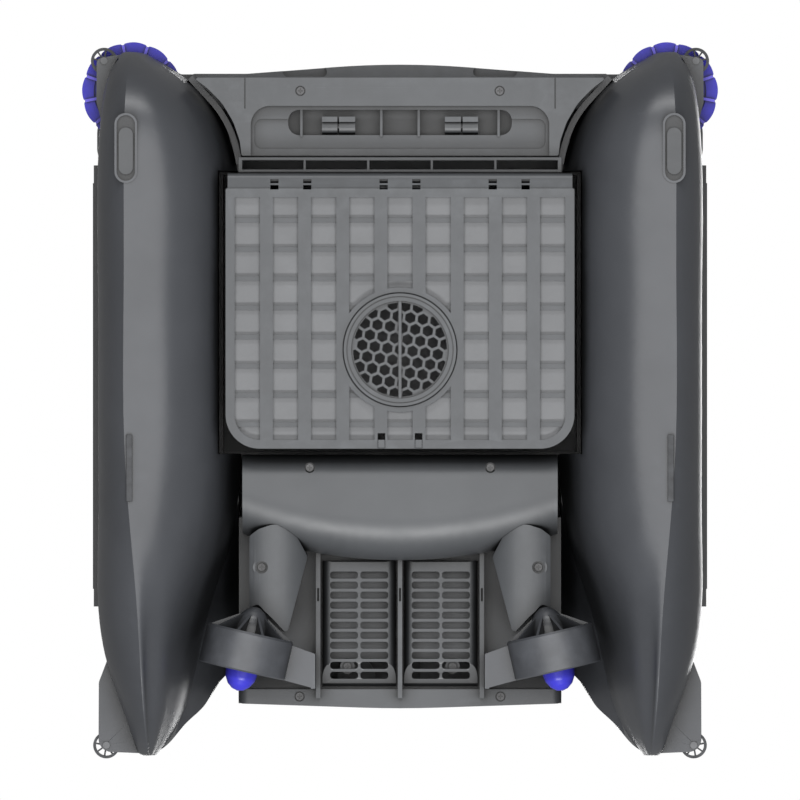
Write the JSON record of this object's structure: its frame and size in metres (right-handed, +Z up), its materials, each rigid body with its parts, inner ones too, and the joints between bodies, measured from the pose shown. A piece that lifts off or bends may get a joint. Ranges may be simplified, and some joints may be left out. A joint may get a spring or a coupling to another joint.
{
  "type": "robotic pool surface skimmer",
  "caption": "Twin-pontoon robotic pool surface cleaner with a lift-out debris basket, corner paddle wheels and ducted rear thrusters.",
  "frame": {"origin": "on the ground, under the middle of the whole machine's box", "axes": "+Z up from the keels to the deck, -Y towards the bow with the paddle wheels, -X to port (left in a view from above, bow away from the viewer is -Y)"},
  "size_m": [0.4338, 0.4881, 0.2138],
  "materials": {
    "hull": "satin moulded plastic",
    "panel": "fine-textured moulded plastic",
    "dark_plastic": "dark moulded plastic",
    "blue": "glossy moulded plastic",
    "door": "satin moulded plastic",
    "screen": "woven screen film",
    "pad": "soft rubber",
    "solar": "laminated cell glass",
    "metal": "stainless steel",
    "battery": "shrink-wrapped cells",
    "board": "solder-masked board",
    "lens": "translucent light window"
  },
  "bodies": {
    "root": {"left_pontoon_shell": "hull", "right_pontoon_shell": "hull", "left_pontoon_cover": "hull", "right_pontoon_cover": "hull", "left_side_trim": "dark_plastic", "right_side_trim": "dark_plastic", "left_foot_pad": "pad", "right_foot_pad": "pad", "skid_strips": "pad", "deck_cover": "hull", "side_solar_panels": "solar", "rear_solar_panel": "solar", "front_lip": "panel", "center_hull": "panel", "left_rear_grille": "panel", "right_rear_grille": "panel", "front_scoop": "panel", "range_finders": "panel", "mouth_grate": "panel", "left_thruster_duct": "hull", "right_thruster_duct": "hull", "left_thruster_motor": "metal", "right_thruster_motor": "metal", "left_thruster_cover": "panel", "right_thruster_cover": "panel", "left_paddle_motor": "metal", "right_paddle_motor": "metal", "left_front_roller_bracket": "hull", "right_front_roller_bracket": "hull", "left_rear_roller_bracket": "hull", "right_rear_roller_bracket": "hull", "roller_pins": "metal", "battery_pack": "battery", "control_board": "board", "charge_socket": "dark_plastic", "status_lens": "lens", "hull_screws": "dark_plastic"},
    "left_paddle_wheel": {"left_paddle_wheel": "blue", "left_paddle_shaft": "metal"},
    "right_paddle_wheel": {"right_paddle_wheel": "blue", "right_paddle_shaft": "metal"},
    "left_propeller": {"left_propeller": "blue"},
    "right_propeller": {"right_propeller": "blue"},
    "left_front_roller": {"left_front_roller": "pad"},
    "right_front_roller": {"right_front_roller": "pad"},
    "left_rear_roller": {"left_rear_roller": "pad"},
    "right_rear_roller": {"right_rear_roller": "pad"},
    "basket": {"basket_tub": "door", "basket_lid": "hull", "basket_hinge_pins": "metal"},
    "handle": {"basket_handle": "door"},
    "bottom_door": {"bottom_door": "door", "door_screen": "screen"},
    "door_latches": {"door_latches": "door"},
    "filter_cap": {"filter_cap": "door", "filter_mesh": "door"},
    "return_flap": {"return_flap": "dark_plastic"},
    "power_button": {"power_button": "dark_plastic"},
    "charge_cap": {"charge_cap": "pad"}
  },
  "joints": [
    {"name": "left_paddle_spin", "type": "hinge", "parent": "root", "child": "left_paddle_wheel", "pos_m": [-0.1829, -0.2101, 0.118], "axis": [0, 0, 1], "continuous": true},
    {"name": "left_propeller_spin", "type": "hinge", "parent": "root", "child": "left_propeller", "pos_m": [-0.1044, 0.1707, 0.045], "axis": [-0.225, 0.9744, 0], "continuous": true},
    {"name": "left_front_roller_spin", "type": "hinge", "parent": "root", "child": "left_front_roller", "pos_m": [-0.2016, -0.231, 0.093], "axis": [0, 0, 1], "continuous": true},
    {"name": "left_rear_roller_spin", "type": "hinge", "parent": "root", "child": "left_rear_roller", "pos_m": [-0.1999, 0.235, 0.083], "axis": [0, 0, 1], "continuous": true},
    {"name": "right_paddle_spin", "type": "hinge", "parent": "root", "child": "right_paddle_wheel", "pos_m": [0.1829, -0.2101, 0.118], "axis": [0, 0, 1], "continuous": true},
    {"name": "right_propeller_spin", "type": "hinge", "parent": "root", "child": "right_propeller", "pos_m": [0.1044, 0.1707, 0.045], "axis": [0.225, 0.9744, 0], "continuous": true},
    {"name": "right_front_roller_spin", "type": "hinge", "parent": "root", "child": "right_front_roller", "pos_m": [0.2016, -0.231, 0.093], "axis": [0, 0, 1], "continuous": true},
    {"name": "right_rear_roller_spin", "type": "hinge", "parent": "root", "child": "right_rear_roller", "pos_m": [0.1999, 0.235, 0.083], "axis": [0, 0, 1], "continuous": true},
    {"name": "basket_lift", "type": "slide", "parent": "root", "child": "basket", "axis": [0, 0, 1], "range_m": [0, 0.22]},
    {"name": "handle_swing", "type": "hinge", "parent": "basket", "child": "handle", "pos_m": [0, -0.008, 0.2104], "axis": [1, 0, 0], "range_deg": [-95, 0]},
    {"name": "bottom_door_swing", "type": "hinge", "parent": "basket", "child": "bottom_door", "pos_m": [0, -0.1494, 0.037], "axis": [1, 0, 0], "range_deg": [-85, 0]},
    {"name": "latch_press", "type": "slide", "parent": "bottom_door", "child": "door_latches", "axis": [0, -1, 0], "range_m": [0, 0.003], "stiffness_N_per_m": 400},
    {"name": "filter_cap_twist", "type": "hinge", "parent": "bottom_door", "child": "filter_cap", "pos_m": [0, -0.0341, 0.031], "axis": [0, 0, 1], "range_deg": [0, 60]},
    {"name": "return_flap_swing", "type": "hinge", "parent": "basket", "child": "return_flap", "pos_m": [0, -0.1467, 0.137], "axis": [1, 0, 0], "range_deg": [0, 70]},
    {"name": "power_button_press", "type": "slide", "parent": "root", "child": "power_button", "axis": [0, 0, -1], "range_m": [0, 0.002], "stiffness_N_per_m": 600},
    {"name": "charge_cap_swing", "type": "hinge", "parent": "root", "child": "charge_cap", "pos_m": [0.032, 0.1846, 0.2039], "axis": [1, 0, 0], "range_deg": [0, 100]}
  ]
}
